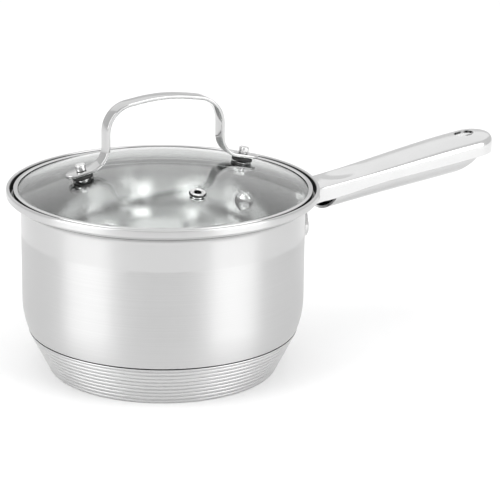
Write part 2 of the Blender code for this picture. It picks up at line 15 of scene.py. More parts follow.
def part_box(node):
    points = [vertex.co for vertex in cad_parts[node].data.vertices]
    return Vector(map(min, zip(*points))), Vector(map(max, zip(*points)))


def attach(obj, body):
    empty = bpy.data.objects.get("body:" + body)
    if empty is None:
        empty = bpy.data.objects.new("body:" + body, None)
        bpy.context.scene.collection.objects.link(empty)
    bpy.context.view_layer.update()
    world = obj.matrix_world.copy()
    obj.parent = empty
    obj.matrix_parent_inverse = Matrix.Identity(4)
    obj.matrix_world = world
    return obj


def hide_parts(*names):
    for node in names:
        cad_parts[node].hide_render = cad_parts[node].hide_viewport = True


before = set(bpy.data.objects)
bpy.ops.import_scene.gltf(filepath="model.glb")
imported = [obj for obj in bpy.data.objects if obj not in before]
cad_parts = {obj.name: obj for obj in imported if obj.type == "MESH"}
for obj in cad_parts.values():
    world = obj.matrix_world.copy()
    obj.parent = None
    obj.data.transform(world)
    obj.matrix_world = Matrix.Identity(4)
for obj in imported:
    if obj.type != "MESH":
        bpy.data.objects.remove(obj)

bl_info = {
    "name": "Saucepan with glass lid",
    "version": (1, 0, 0),
    "blender": (4, 5, 0),
    "location": "3D View > Sidebar > Saucepan",
    "description": "Builds the pan, its handle and its glass lid over the packed frame",
    "category": "Object",
}

WELD = 1e-6  # distance under which doubled points are one
SHARP = math.radians(40)  # edges sharper than this are shaded as creases
GAP = 0.0003  # between pieces that touch
LARGE_SIDES = 192  # sides of the pan, its base and the lid's band
GLASS_SIDES = 144
SMALL_SIDES = 48  # sides of rivets, fasteners, pads and round holes


def middle_of(node):
    low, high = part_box(node)
    return (low + high) / 2


PAN_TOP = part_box("pan_body")[1].z
LIP_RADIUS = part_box("pan_body")[1].x
JOINT_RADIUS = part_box("base_cap")[1].x
JOINT_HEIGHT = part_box("base_cap")[1].z
CORE_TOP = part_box("base_core_disc")[1].z
BAND_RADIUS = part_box("lid_rim_band")[1].x
BAND_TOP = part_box("lid_rim_band")[1].z
DOME_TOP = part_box("lid_glass")[1].z
HANDLE_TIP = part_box("handle_upper_shell")[1].x
STUD_PLACE = middle_of("lid_nut_right").xy.to_3d()
VENT_PLACE = middle_of("vent_eyelet").xy.to_3d()


def length(name, default, description):
    return FloatProperty(name=name, description=description, default=default, min=0.0,
                         precision=5, subtype="DISTANCE", unit="LENGTH")


def angle(name, degrees, description):
    return FloatProperty(name=name, description=description, default=math.radians(degrees),
                         subtype="ANGLE", unit="ROTATION")


def colour(name, default, description):
    return FloatVectorProperty(name=name, description=description, default=default, size=3,
                               min=0.0, max=1.0, subtype="COLOR")


def share(name, default, description):
    return FloatProperty(name=name, description=description, default=default, min=0.0, max=1.0,
                         subtype="FACTOR")


class SaucepanPanSizes(bpy.types.PropertyGroup):
    """Sizes of the pan and its base."""
    radius: length("Wall radius", 0.080, "Outside of the straight wall")
    sheet: length("Sheet", 0.0008, "Thickness of the wall")
    belly: length("Belly height", 0.033, "Where the straight wall starts to turn in")
    ledge: length("Ledge depth", 0.0072, "Top of the lip down to the ledge that carries the lid")
    bead: length("Bead height", 0.0052, "Height of the rolled lip's outer face")
    lip: length("Lip thickness", 0.0020, "Thickness of the rolled lip")
    joint: length("Joint", 0.0010, "Height of the dark groove between the wall and the base")
    polish: length("Polish height", 0.0804, "Above this height the wall is polished, not brushed")
    base_radius: length("Base radius", 0.0650, "Bottom edge of the base")
    ring_depth: length("Ring depth", 0.0005, "Depth of the grooves turned into the base")
    rings: IntProperty(name="Rings", description="Grooves round the base", default=9, min=1)


class SaucepanHandleSizes(bpy.types.PropertyGroup):
    """Sizes of the handle."""
    sheet: length("Sheet", 0.0015, "Thickness of the two shells")
    neck_reach: length("Neck reach", 0.026, "From the wall to the narrowest section")
    neck_width: length("Neck width", 0.023, "Width at the neck")
    grip_width: length("Grip width", 0.030, "Width at the widest section")
    neck_crown: length("Neck crown", 0.0024, "Rise of the rounded top at the neck")
    grip_crown: length("Grip crown", 0.0062, "Rise of the rounded top at the grip")
    side: length("Side height", 0.0055, "Flat side of the upper shell")
    root_side: length("Root side", 0.0022, "Extra depth of the side at the handle's root")
    belly: length("Belly depth", 0.0090, "Rounded bottom of the lower shell")
    slope: FloatProperty(name="Slope", description="Rise of the handle over its length",
                         default=0.0925)
    drop: length("Drop", 0.0142, "Top of the lip down to the shoulder at the neck")
    widest: length("Widest reach", 0.130, "From the wall to the widest section")
    nose: length("Nose", 0.0150, "Length of the rounded end")
    dish: length("Dish depth", 0.0016, "Depth of the thumb dish")
    slot_centre: length("Slot centre", 0.0184, "From the tip to the middle of the hanging slot")
    slot_length: length("Slot length", 0.0125, "Length of the hanging slot")
    slot_width: length("Slot width", 0.0100, "Width of the hanging slot")


class SaucepanLidSizes(bpy.types.PropertyGroup):
    """Sizes of the glass lid and its fittings."""
    glass: length("Glass", 0.0030, "Thickness of the glass")
    rise: length("Dome rise", 0.0160, "Edge of the glass up to its crown")
    band: length("Band sheet", 0.0006, "Thickness of the rim band")
    cover: length("Band cover", 0.0026, "How far the band reaches over the glass")
    strap_width: length("Strap width", 0.0095, "Width of the strap handle")
    strap_sheet: length("Strap thickness", 0.0020, "Thickness of the strap handle")
    strap_span: length("Strap span", 0.0345, "From the lid's axis to a leg")
    strap_rise: length("Strap rise", 0.0382, "Crown of the glass to the middle of the strap")
    foot: length("Foot reach", 0.0090, "Foot's tip beyond its screw")
    pad: length("Pad thickness", 0.0020, "Thickness of the pad under a foot")
    nut_radius: length("Nut radius", 0.0029, "Radius of a cap nut")
    nut_height: length("Nut height", 0.0036, "Height of a cap nut")


class SaucepanFinishes(bpy.types.PropertyGroup):
    """Colours and polish of the pieces."""
    steel: colour("Steel", (0.62, 0.62, 0.62), "Stainless steel of the pan, handle and lid")
    # Painted shade: a near-black colour put in the joint gap and behind the lid's band, where there
    # is only shade
    dull: colour("Painted shade steel", (0.07, 0.07, 0.07), "Steel in the joint and behind the band")
    # Painted light: a lighter copy of the steel that brightens the upper shell's reflections
    handle: colour("Handle steel", (0.70, 0.70, 0.70), "Bright steel of the handle")
    # Painted shade: a darker copy of the steel for the handle's underside
    under: colour("Lower shell steel", (0.56, 0.56, 0.56), "Steel of the handle's lower shell")
    strap: colour("Strap steel", (0.54, 0.54, 0.54), "Bright steel of the lid's strap handle")
    # Painted light: a lighter copy of the steel that brightens the inside of the pan
    inside: colour("Inside steel", (0.84, 0.84, 0.84), "Bright steel inside the pan")
    aluminium: colour("Core", (0.74, 0.74, 0.75), "Aluminium disc inside the base")
    glass: colour("Glass", (0.965, 0.985, 0.975), "Tint of the lid")
    silicone: colour("Silicone", (0.022, 0.022, 0.022), "Pads, bushes and seals")
    satin: share("Satin roughness", 0.42, "Roughness of the brushed wall")
    polish: share("Polish roughness", 0.16, "Roughness of the handle's upper shell")


class SaucepanStageSizes(bpy.types.PropertyGroup):
    """Floor, light and camera."""
    floor: length("Floor", 8.0, "Width of the floor")
    distance: length("Camera distance", 1.2719, "From the base's centre to the camera")
    azimuth: angle("Camera azimuth", -121.0, "Direction of the camera, from the handle's")
    elevation: angle("Camera elevation", 20.53, "Height of the camera over the floor")
    turn: angle("Camera turn", -2.256, "Turn to the left, away from the base's centre")
    lift: angle("Camera lift", 2.905, "Turn upwards, away from the base's centre")
    lens: FloatProperty(name="Lens", description="Focal length", default=158.62,
                        subtype="DISTANCE_CAMERA")
    sky: share("Surround", 0.78, "Brightness of the studio round the pan")


# Shapes

def blend(start, end, part):
    return start + (end - start) * part


def ease(part):
    part = min(max(part, 0.0), 1.0)
    return part * part * (3 - 2 * part)


def rounded(corners, steps=6):
    """Points of a path through corners (a, b, fillet radius), with an arc at each fillet."""
    points = []
    for index, (a, b, radius) in enumerate(corners):
        corner = Vector((a, b))
        if not radius:
            points.append((a, b))
            continue
        before = (Vector(corners[index - 1][:2]) - corner).normalized()
        after = (Vector(corners[index + 1][:2]) - corner).normalized()
        half = before.angle(after) / 2
        middle = corner + (before + after).normalized() * (radius / math.sin(half))
        start = corner + before * (radius / math.tan(half)) - middle
        turn = math.copysign(math.pi - 2 * half, before.x * after.y - before.y * after.x)
        for step in range(steps + 1):
            points.append(tuple(middle + Matrix.Rotation(-turn * step / steps, 2) @ start))
    return points


def close_seams(shape):
    bmesh.ops.remove_doubles(shape, verts=shape.verts, dist=WELD)
    bmesh.ops.dissolve_degenerate(shape, edges=shape.edges, dist=WELD)
    bmesh.ops.recalc_face_normals(shape, faces=shape.faces)


def add_piece(name, shape, look, place=None):
    """A mesh object of a bmesh, with its place in its mesh."""
    close_seams(shape)
    if place:
        bmesh.ops.transform(shape, matrix=place, verts=shape.verts)
    mesh = bpy.data.meshes.new(name)
    shape.to_mesh(mesh)
    shape.free()
    mesh.materials.append(look)
    mesh.shade_smooth()
    mesh.set_sharp_from_angle(angle=SHARP)
    piece = bpy.data.objects.new(name, mesh)
    bpy.context.scene.collection.objects.link(piece)
    return piece


def settle(piece, body, slot, *nodes):
    """The piece rides on a body and stands for CAD nodes, which it hides. The slot is not used."""
    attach(piece, body)
    if nodes:
        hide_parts(*nodes)


def spun(outline, sides, ring=False):
    """A bmesh of an outline (radius, height) spun round the Z axis. A ring's outline is closed."""
    shape = bmesh.new()
    points = [shape.verts.new((radius, 0, height)) for radius, height in outline]
    pairs = list(zip(points, points[1:]))
    if ring:
        pairs.append((points[-1], points[0]))
    edges = [shape.edges.new(pair) for pair in pairs]
    bmesh.ops.spin(shape, geom=points + edges, axis=(0, 0, 1), cent=(0, 0, 0),
                   angle=math.tau, steps=sides, use_merge=True)
    return shape


def sheet_through(rows):
    """A bmesh grid moved onto rows of points, with the same number of points in each row."""
    shape = bmesh.new()
    bmesh.ops.create_grid(shape, x_segments=len(rows[0]) - 1, y_segments=len(rows) - 1, size=1)
    shape.verts.ensure_lookup_table()
    for vert, point in zip(shape.verts, [point for row in rows for point in row]):
        vert.co = point
    return shape


def bake_modifiers(piece):
    graph = bpy.context.evaluated_depsgraph_get()
    mesh = bpy.data.meshes.new_from_object(piece.evaluated_get(graph))
    piece.modifiers.clear()
    piece.data = mesh
    mesh.shade_smooth()
    mesh.set_sharp_from_angle(angle=SHARP)


def thicken(piece, thickness):
    solidify = piece.modifiers.new("sheet", "SOLIDIFY")
    solidify.thickness = thickness
    solidify.offset = -1
    solidify.use_quality_normals = True


def cut_away(piece, cutters):
    """Cuts each cutter out of the piece and removes the cutter."""
    for cutter in cutters:
        boolean = piece.modifiers.new("cut", "BOOLEAN")
        boolean.operation = "DIFFERENCE"
        boolean.object = cutter
        boolean.solver = "EXACT"
    bake_modifiers(piece)
    for cutter in cutters:
        bpy.data.objects.remove(cutter, do_unlink=True)


def pin(radius, low, high, place, look):
    """A cutter for a round hole along the local Z axis of a place."""
    outline = [(0, low), (radius, low), (radius, high), (0, high)]
    return add_piece("hole_cutter", spun(outline, SMALL_SIDES), look, place)


def stadium(length_along, width, low, high):
    """A bmesh of a round-ended plate, long along X."""
    shape = bmesh.new()
    bmesh.ops.create_circle(shape, cap_ends=True, segments=SMALL_SIDES, radius=width / 2)
    for vert in shape.verts:
        vert.co.x += math.copysign((length_along - width) / 2, vert.co.x)
        vert.co.z = low
    made = bmesh.ops.extrude_face_region(shape, geom=shape.faces[:])
    raised = [item for item in made["geom"] if isinstance(item, bmesh.types.BMVert)]
    bmesh.ops.translate(shape, verts=raised, vec=(0, 0, high - low))
    return shape


# Materials

NOISE_LOW = 0.3  # nearly all of a noise's values
NOISE_HIGH = 0.7  # lie between these two
ROUND_SCALE = 12  # how fast turning marks change on their way round
CROSSWISE = 0.25  # a quarter turn, which stretches highlights across the marks
POLISH_EDGE = 0.0004  # half the height over which the wall's polish sets in


class NodeBench:
    """A new material, and what adds shader nodes to it."""

    def __init__(self, name):
        self.material = bpy.data.materials.new(name)
        self.material.use_nodes = True
        self.tree = self.material.node_tree
        self.shader = self.tree.nodes["Principled BSDF"]

    def feed(self, node, inputs):
        """Each named input takes a value, or a link from another node's output."""
        for name, value in inputs.items():
            if isinstance(value, bpy.types.NodeSocket):
                self.tree.links.new(value, node.inputs[name])
            else:
                node.inputs[name].default_value = value

    def add(self, kind, inputs, **settings):
        node = self.tree.nodes.new(kind)
        for name, value in settings.items():
            setattr(node, name, value)
        self.feed(node, inputs)
        return node

    def shade(self, inputs):
        self.feed(self.shader, inputs)

    def place(self):
        return self.add("ShaderNodeTexCoord", {}).outputs["Object"]

    def math(self, operation, *values):
        return self.add("ShaderNodeMath", dict(enumerate(values)), operation=operation).outputs[0]

    def noise(self, vector, scale, detail):
        inputs = {"Vector": vector, "Scale": scale, "Detail": detail}
        return self.add("ShaderNodeTexNoise", inputs).outputs["Fac"]

    def spread(self, value, low, high):
        """The value, which lies round a half, spread between low and high."""
        inputs = {"Value": value, "From Min": NOISE_LOW, "From Max": NOISE_HIGH,
                  "To Min": low, "To Max": high}
        return self.add("ShaderNodeMapRange", inputs).outputs["Result"]

    def bump(self, height, strength, distance):
        inputs = {"Height": height, "Strength": strength, "Distance": distance}
        self.shade({"Normal": self.add("ShaderNodeBump", inputs).outputs["Normal"]})

    def brush_round(self, amount):
        """Stretches highlights across marks that run round the Z axis."""
        tangent = self.add("ShaderNodeTangent", {}, direction_type="RADIAL", axis="Z")
        self.shade({"Tangent": tangent.outputs[0], "Anisotropic": amount,
                    "Anisotropic Rotation": CROSSWISE})

    def tone(self, value, colour_of, dark):
        """Base colour between a darker tone and the colour itself."""
        darker = [channel * dark for channel in colour_of]
        inputs = {"Factor": value, "A": (*darker, 1), "B": (*colour_of, 1)}
        mixed = self.add("ShaderNodeMix", inputs, data_type="RGBA")
        self.shade({"Base Color": mixed.outputs["Result"]})


def shared(name, make, *values):
    """A material that several pieces wear, made the first time that one asks for it."""
    return bpy.data.materials.get(name) or make(name, *values)


def turned_grain(bench, fineness):
    """A vector that varies slowly round the axis and quickly across the turning marks."""
    x, y, z = bench.add("ShaderNodeSeparateXYZ", {0: bench.place()}).outputs
    squares = bench.math("ADD", bench.math("MULTIPLY", x, x), bench.math("MULTIPLY", y, y))
    across = bench.math("ADD", bench.math("SQRT", squares), z)
    joined = bench.add("ShaderNodeCombineXYZ", {
        0: bench.math("MULTIPLY", x, ROUND_SCALE),
        1: bench.math("MULTIPLY", y, ROUND_SCALE),
        2: bench.math("MULTIPLY", across, fineness),
    })
    return joined.outputs[0], z


def brushed_wall(name, finishes, polish_height):
    """Satin steel brushed round the axis, and polished above a height."""
    bench = NodeBench(name)
    vector, z = turned_grain(bench, fineness=2600)
    grain = bench.noise(vector, scale=1.0, detail=3.0)
    ramp = bench.add("ShaderNodeMapRange", {"Value": z, "From Min": polish_height - POLISH_EDGE,
                                            "From Max": polish_height + POLISH_EDGE})
    satin = bench.math("SUBTRACT", 1.0, ramp.outputs["Result"])
    rough_satin = bench.spread(grain, finishes.satin - 0.05, finishes.satin + 0.06)
    rough = bench.add("ShaderNodeMix", {"Factor": satin, "A": finishes.satin - 0.12,
                                        "B": rough_satin}, data_type="FLOAT")
    bench.shade({"Metallic": 1.0, "Roughness": rough.outputs["Result"]})
    streaks = bench.math("MULTIPLY", bench.spread(grain, 0.0, 1.0), satin)
    bench.tone(streaks, finishes.steel, dark=0.93)
    bench.brush_round(0.9)
    bench.bump(bench.math("MULTIPLY", grain, satin), strength=0.06, distance=0.00004)
    return bench.material


def turned_steel(name, shade, roughness, fineness, dark):
    """Steel with turning marks round the axis."""
    bench = NodeBench(name)
    grain = bench.noise(turned_grain(bench, fineness)[0], scale=1.0, detail=2.0)
    bench.shade({"Metallic": 1.0,
                 "Roughness": bench.spread(grain, roughness - 0.03, roughness + 0.05)})
    bench.tone(bench.spread(grain, 0.0, 1.0), shade, dark)
    bench.bump(grain, strength=0.03, distance=0.00003)
    return bench.material


def bright_steel(name, shade, roughness):
    """Polished steel with faint buffing."""
    bench = NodeBench(name)
    cloud = bench.noise(bench.place(), scale=60.0, detail=3.0)
    fine = bench.noise(bench.place(), scale=900.0, detail=2.0)
    bench.shade({"Metallic": 1.0,
                 "Roughness": bench.spread(cloud, roughness - 0.02, roughness + 0.04)})
    bench.tone(bench.spread(cloud, 0.0, 1.0), shade, dark=0.96)
    bench.bump(fine, strength=0.04, distance=0.00002)
    return bench.material


def painted_shade_steel(name, shade):
    """Painted shade: near-black steel where no light reaches, in the joint and behind the lid's
    band.
    """
    bench = NodeBench(name)
    speckle = bench.noise(bench.place(), scale=900.0, detail=2.0)
    bench.tone(bench.spread(speckle, 0.0, 1.0), shade, dark=0.8)
    bench.shade({"Metallic": 1.0, "Roughness": 0.5})
    return bench.material


def cast_aluminium(name, shade):
    bench = NodeBench(name)
    grain = bench.noise(turned_grain(bench, fineness=900)[0], scale=1.0, detail=2.0)
    bench.shade({"Metallic": 1.0, "Roughness": bench.spread(grain, 0.38, 0.52)})
    bench.tone(grain, shade, dark=0.9)
    return bench.material


def clear_glass(name, tint):
    bench = NodeBench(name)
    wave = bench.noise(bench.place(), scale=18.0, detail=1.0)
    bench.shade({"Base Color": (*tint, 1), "Transmission Weight": 1.0, "IOR": 1.5,
                 "Roughness": bench.spread(wave, 0.0, 0.012)})
    return bench.material


def matte_silicone(name, shade):
    bench = NodeBench(name)
    speckle = bench.noise(bench.place(), scale=1400.0, detail=2.0)
    bench.tone(bench.spread(speckle, 0.0, 1.0), shade, dark=0.7)
    bench.shade({"Roughness": bench.spread(speckle, 0.45, 0.62)})
    bench.bump(speckle, strength=0.15, distance=0.00005)
    return bench.material


def pale_floor(name, shade):
    bench = NodeBench(name)
    cloud = bench.noise(bench.place(), scale=3.0, detail=2.0)
    bench.tone(bench.spread(cloud, 0.0, 1.0), shade, dark=0.995)
    bench.shade({"Roughness": 0.8})
    return bench.material


def silicone(scene):
    return shared("dark_silicone", matte_silicone, scene.saucepan_finishes.silicone)


def fastener_steel(scene):
    return shared("fastener_steel", bright_steel, scene.saucepan_finishes.steel, 0.14)


def painted_shade_material(scene):
    return shared("dull_dark_steel", painted_shade_steel, scene.saucepan_finishes.dull)


# Pan and base

FLOOR_FILLET = 0.012  # where the pan's hidden floor turns up
BELLY_FILLET = 0.050  # where the wall turns in, on its outside
INNER_FILLET = 0.060  # and on its inside
THROAT_FILLET = 0.030  # where the inside turns down into the base
BEAD_TURN = 0.0012  # height of the curve under the lip's outer face
CAP_FILLET = 0.0015  # round the bottom of the base
# A groove's outline, in parts of its pitch and of its depth
GROOVE = ((0.06, 0.6), (0.14, 1.0), (0.30, 1.0), (0.42, 0.35), (0.56, 0.0), (0.86, 0.0))
NEAR = 0.0002  # how near a face's middle has to be to the joint or the ledge
FACING = 0.001  # a face lies level if its normal along its place is under this
PAINTED_SHADE_TOP = 0.0014  # from the top of the lip down to the painted shade behind the band


def base_radius_at(pan, height):
    """Outer radius of the base cap, without its grooves."""
    return blend(pan.base_radius, JOINT_RADIUS, height / JOINT_HEIGHT)


def pan_outline(pan):
    """The body's outside, from the floor's centre up to the lip, and its inside back down."""
    hidden = pan.ring_depth + pan.sheet + GAP
    floor = CORE_TOP + GAP
    foot = base_radius_at(pan, floor) - hidden
    seat_height = JOINT_HEIGHT + pan.joint
    seat = base_radius_at(pan, seat_height) - hidden
    ledge = PAN_TOP - pan.ledge
    bead_foot = PAN_TOP - pan.bead
    bead_face = (LIP_RADIUS, bead_foot + BEAD_TURN, 0)
    lip_inner = LIP_RADIUS - pan.lip
    inner = pan.radius - pan.sheet
    outside = rounded([
        (0, floor, 0),
        (foot, floor, FLOOR_FILLET),
        (base_radius_at(pan, JOINT_HEIGHT) - hidden, JOINT_HEIGHT, 0),
        (seat, seat_height, 0),
        (JOINT_RADIUS, seat_height, 0),
        (pan.radius, pan.belly, BELLY_FILLET),
        (pan.radius, ledge - 0.0016, 0.0030),
        (LIP_RADIUS - 0.0014, bead_foot - 0.0002, 0.0010),
        bead_face,
    ], steps=10)
    inside = rounded([
        bead_face,
        (LIP_RADIUS, PAN_TOP, 0.0011),
        (lip_inner, PAN_TOP, 0.0008),
        (lip_inner, ledge + 0.0010, 0.0014),
        (inner, ledge, 0.0007),
        (inner, pan.belly, INNER_FILLET),
        (seat - pan.sheet, JOINT_HEIGHT, THROAT_FILLET),
        (foot - pan.sheet, floor + pan.sheet, FLOOR_FILLET - pan.sheet),
        (0, floor + pan.sheet, 0),
    ], steps=10)
    return outside, inside


def pan_look(face, pan):
    """Material slot of a face: 0 is the outside, 1 the inside in a lighter copy of the steel that
    is painted light, and 2 the painted shade in the joint and on the ledge.
    """
    height = face.center.z
    ledge = PAN_TOP - pan.ledge
    outward = face.normal.xy.dot(face.center.xy)
    # The wall's faces in the joint gap get painted shade
    if outward > -FACING and -NEAR < height - JOINT_HEIGHT < pan.joint + NEAR:
        return 2
    if outward >= -FACING and face.normal.z <= 0.5:
        return 0
    # The ledge and the lip's inner wall behind the band get painted shade
    if ledge - 2 * NEAR < height < PAN_TOP - PAINTED_SHADE_TOP:
        return 2
    return 1 if height < ledge else 0


class SAUCEPAN_OT_pan(bpy.types.Operator):
    """Builds the pan's pressed body with its rolled lip"""
    bl_idname = "saucepan.pan"
    bl_label = "Pan body"

    def execute(self, context):
        pan = context.scene.saucepan_pan
        finishes = context.scene.saucepan_finishes
        look = brushed_wall("pan_wall_steel", finishes, pan.polish)
        outside, inside = pan_outline(pan)
        body = add_piece("pan_pressed_body", spun(outside + inside[1:], LARGE_SIDES), look)
        # The inside wears a lighter copy of the steel: painted light
        body.data.materials.append(bright_steel("pan_inside_painted_light_steel", finishes.inside, 0.09))
        # Slot 2: painted shade for the joint gap and the ledge
        body.data.materials.append(painted_shade_material(context.scene))
        for face in body.data.polygons:
            face.material_index = pan_look(face, pan)
        settle(body, "pan", "pan_steel", "pan_body")
        return {"FINISHED"}


def base_outline(pan):
    """The cap's outline: the ringed outside up to the joint, and the plain inside."""
    pitch = (JOINT_HEIGHT - CAP_FILLET) / pan.rings
    outline = rounded([
        (0, 0, 0),
        (pan.base_radius, 0, CAP_FILLET),
        (base_radius_at(pan, CAP_FILLET * 2), CAP_FILLET * 2, 0),
    ])[:-1]
    for ring in range(pan.rings):
        for part, depth in GROOVE:
            height = CAP_FILLET + (ring + part) * pitch
            outline.append((base_radius_at(pan, height) - pan.ring_depth * depth, height))
    wall = pan.ring_depth + pan.sheet
    return outline + [
        (JOINT_RADIUS - GAP, JOINT_HEIGHT),
        (JOINT_RADIUS - wall, JOINT_HEIGHT),
        (base_radius_at(pan, pan.sheet) - wall, pan.sheet),
        (0, pan.sheet),
    ]


class SAUCEPAN_OT_base(bpy.types.Operator):
    """Builds the base's ringed cap and finishes the disc inside it"""
    bl_idname = "saucepan.base"
    bl_label = "Base"

    def execute(self, context):
        finishes = context.scene.saucepan_finishes
        look = turned_steel("base_ringed_steel", finishes.steel, roughness=0.36, fineness=2200,
                            dark=0.88)
        outline = base_outline(context.scene.saucepan_pan)
        cap = add_piece("base_ringed_cap", spun(outline, LARGE_SIDES), look)
        # Slot 1: painted shade on the cap's top face, seen through the joint gap
        cap.data.materials.append(painted_shade_material(context.scene))
        for face in cap.data.polygons:
            if face.normal.z > 0.9 and face.center.z > JOINT_HEIGHT - NEAR / 2:
                face.material_index = 1
        settle(cap, "pan", "base_steel", "base_cap")
        core = cast_aluminium("core_aluminium", finishes.aluminium)
        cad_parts["base_core_disc"].data.materials[0] = core
        return {"FINISHED"}


# Handle

SECTION_POWER = 2.3  # 2 is an ellipse, and more is squarer
SECTION_POINTS = 48
ROOT_RUN = 0.05  # past the neck, over which the root's extra depth fades
SEAM_GAP = 0.00005  # between the two shells
DISH_START = 0.026  # from the wall to the thumb dish
DISH_LENGTH = 0.034
LOWER_START = 0.0255  # from the wall to where the lower shell's bottom starts
LOWER_END = 0.117  # and where it ends
ROOT_MOUTH = 0.006  # how much later the shell's sides start than its bottom
TIP_MOUTH = 0.016  # and how much later they end
FLANGE_WIDTH = 0.082  # round the wall
FLANGE_HEIGHT = 0.0245
FLANGE_DROP = 0.0130  # from the top of the lip
FLANGE_GAP = 0.0010  # between the flange and the wall
FLANGE_FOOT = math.radians(70)  # from level down to each end of the flange's outline
FLARE_POWER = 1.1  # over 1, the flare lies closer to the wall


class HandleShape:
    """Where the handle's surfaces lie, at a distance x from the pan's axis."""

    def __init__(self, handle, pan):
        self.handle = handle
        self.wall = pan.radius
        self.neck = pan.radius + handle.neck_reach
        self.tip = HANDLE_TIP

    def side(self, x):
        return self.handle.side + self.handle.root_side * (1 - ease((x - self.neck) / ROOT_RUN))

    def shoulder(self, x):
        return PAN_TOP - self.handle.drop + self.handle.slope * (x - self.neck)

    def nose(self, x):
        past = max(0.0, x - (self.tip - self.handle.nose)) / self.handle.nose
        return math.sqrt(max(0.0, 1 - past ** 2))

    def widening(self, x):
        return ease((x - self.neck) / (self.handle.widest - self.handle.neck_reach))

    def half_width(self, x):
        full = blend(self.handle.neck_width, self.handle.grip_width, self.widening(x))
        return full / 2 * self.nose(x)

    def crown(self, x):
        full = blend(self.handle.neck_crown, self.handle.grip_crown, self.widening(x))
        return full * math.sqrt(self.nose(x))

    def dish(self, x, across):
        along = (x - self.wall - DISH_START) / DISH_LENGTH
        if not 0 < along < 1:
            return 0.0
        hollow = math.sin(math.pi * along) ** 2 * max(0.0, 1 - across ** 2) ** 2
        return self.handle.dish * hollow

    def upper(self, x):
        """The upper shell's outer line at x, from its near edge over the top to the far one."""
        width = self.half_width(x)
        shoulder = self.shoulder(x)
        edge = shoulder - self.side(x)
        rises = [blend(edge, shoulder, step / 4) for step in range(4)]
        points = [Vector((x, -width, height)) for height in rises]
        for step in range(SECTION_POINTS + 1):
            across, up = power_arc(math.pi * (1 - step / SECTION_POINTS))
            height = shoulder + self.crown(x) * up - self.dish(x, across)
            points.append(Vector((x, across * width, height)))
        return points + [Vector((x, width, height)) for height in reversed(rises)]

    def lower(self, x, turn):
        across, down = power_arc(turn)
        seam = self.shoulder(x) - self.side(x) - SEAM_GAP
        depth = self.handle.belly - (self.side(x) - self.handle.side)
        return Vector((x, across * self.half_width(x), seam - depth * down))


def power_arc(turn):
    """(across, up) on a squared quarter arc, from (1, 0) at a turn of 0 to (0, 1)."""
    across = math.copysign(abs(math.cos(turn)) ** (2 / SECTION_POWER), math.cos(turn))
    return across, abs(math.sin(turn)) ** (2 / SECTION_POWER)


def wall_point(wall, across, height, away):
    return Vector((math.sqrt(wall ** 2 - across ** 2) + away, across, height))


def flange_edge(wall, part):
    """(lateral place, height) on the flange's outline, from its near foot to its far foot."""
    middle = PAN_TOP - FLANGE_DROP - FLANGE_HEIGHT / 2
    turn = blend(math.pi + FLANGE_FOOT, -FLANGE_FOOT, part)
    across, up = power_arc(turn)
    lateral = wall * math.sin(across * FLANGE_WIDTH / 2 / wall)
    return lateral, middle + math.copysign(up, math.sin(turn)) * FLANGE_HEIGHT / 2


def flange_row(shape, turn, neck):
    """A row of the flare between the neck's section, at turn 0, and the flange's edge, at 1."""
    row = []
    touching = shape.handle.sheet + FLANGE_GAP
    for index, start in enumerate(neck):
        lateral, height = flange_edge(shape.wall, index / (len(neck) - 1))
        sideways = 1 - math.cos(turn * math.pi / 2)
        closeness = (1 - math.sin(turn * math.pi / 2)) ** FLARE_POWER
        across = blend(start.y, lateral, sideways)
        away = start.x - wall_point(shape.wall, start.y, 0, touching).x
        level = blend(start.z, height, sideways)
        row.append(wall_point(shape.wall, across, level, touching + away * closeness))
    return row


def upper_rows(shape):
    flare_rows = 24
    grip_rows = 70
    nose_rows = 16
    neck = shape.upper(shape.neck)
    rows = [flange_row(shape, 1 - step / flare_rows, neck) for step in range(flare_rows)]
    nose_start = shape.tip - shape.handle.nose
    rows += [shape.upper(blend(shape.neck, nose_start, step / grip_rows))
             for step in range(grip_rows + 1)]
    for step in range(1, nose_rows + 1):
        turn = step / nose_rows * math.pi / 2
        rows.append(shape.upper(nose_start + shape.handle.nose * math.sin(turn)))
    return rows


def lower_rows(shape):
    rows = []
    length_rows = 60
    for step in range(length_rows + 1):
        row = []
        for part in range(SECTION_POINTS + 1):
            turn = math.pi * part / SECTION_POINTS
            down = math.sin(turn)
            start = shape.wall + LOWER_START + ROOT_MOUTH * (1 - down)
            end = shape.wall + LOWER_END + TIP_MOUTH * (1 - down)
            row.append(shape.lower(blend(start, end, step / length_rows), turn))
        rows.append(row)
    return rows


class SAUCEPAN_OT_handle(bpy.types.Operator):
    """Builds the handle's upper shell with its flange and slot, and its lower shell"""
    bl_idname = "saucepan.handle"
    bl_label = "Handle"

    def execute(self, context):
        scene = context.scene
        handle = scene.saucepan_handle
        shape = HandleShape(handle, scene.saucepan_pan)
        finishes = scene.saucepan_finishes
        # The upper shell wears a lighter copy of the steel: painted light
        look = bright_steel("handle_painted_light_steel", finishes.handle, finishes.polish)
        upper = add_piece("handle_upper", sheet_through(upper_rows(shape)), look)
        thicken(upper, handle.sheet)
        centre = shape.tip - handle.slot_centre
        slot = stadium(handle.slot_length, handle.slot_width, -0.004, 0.020)
        place = Matrix.Translation((centre, 0, shape.shoulder(centre)))
        cut_away(upper, [add_piece("slot_cutter", slot, look, place)])
        settle(upper, "pan", "handle_steel", "handle_upper_shell")
        # The lower shell wears a darker copy of the steel: painted shade
        under = bright_steel("handle_under_painted_shade_steel", finishes.under, roughness=0.22)
        lower = add_piece("handle_lower", sheet_through(lower_rows(shape)), under)
        thicken(lower, handle.sheet)
        bake_modifiers(lower)
        settle(lower, "pan", "handle_steel", "handle_lower_shell")
        return {"FINISHED"}


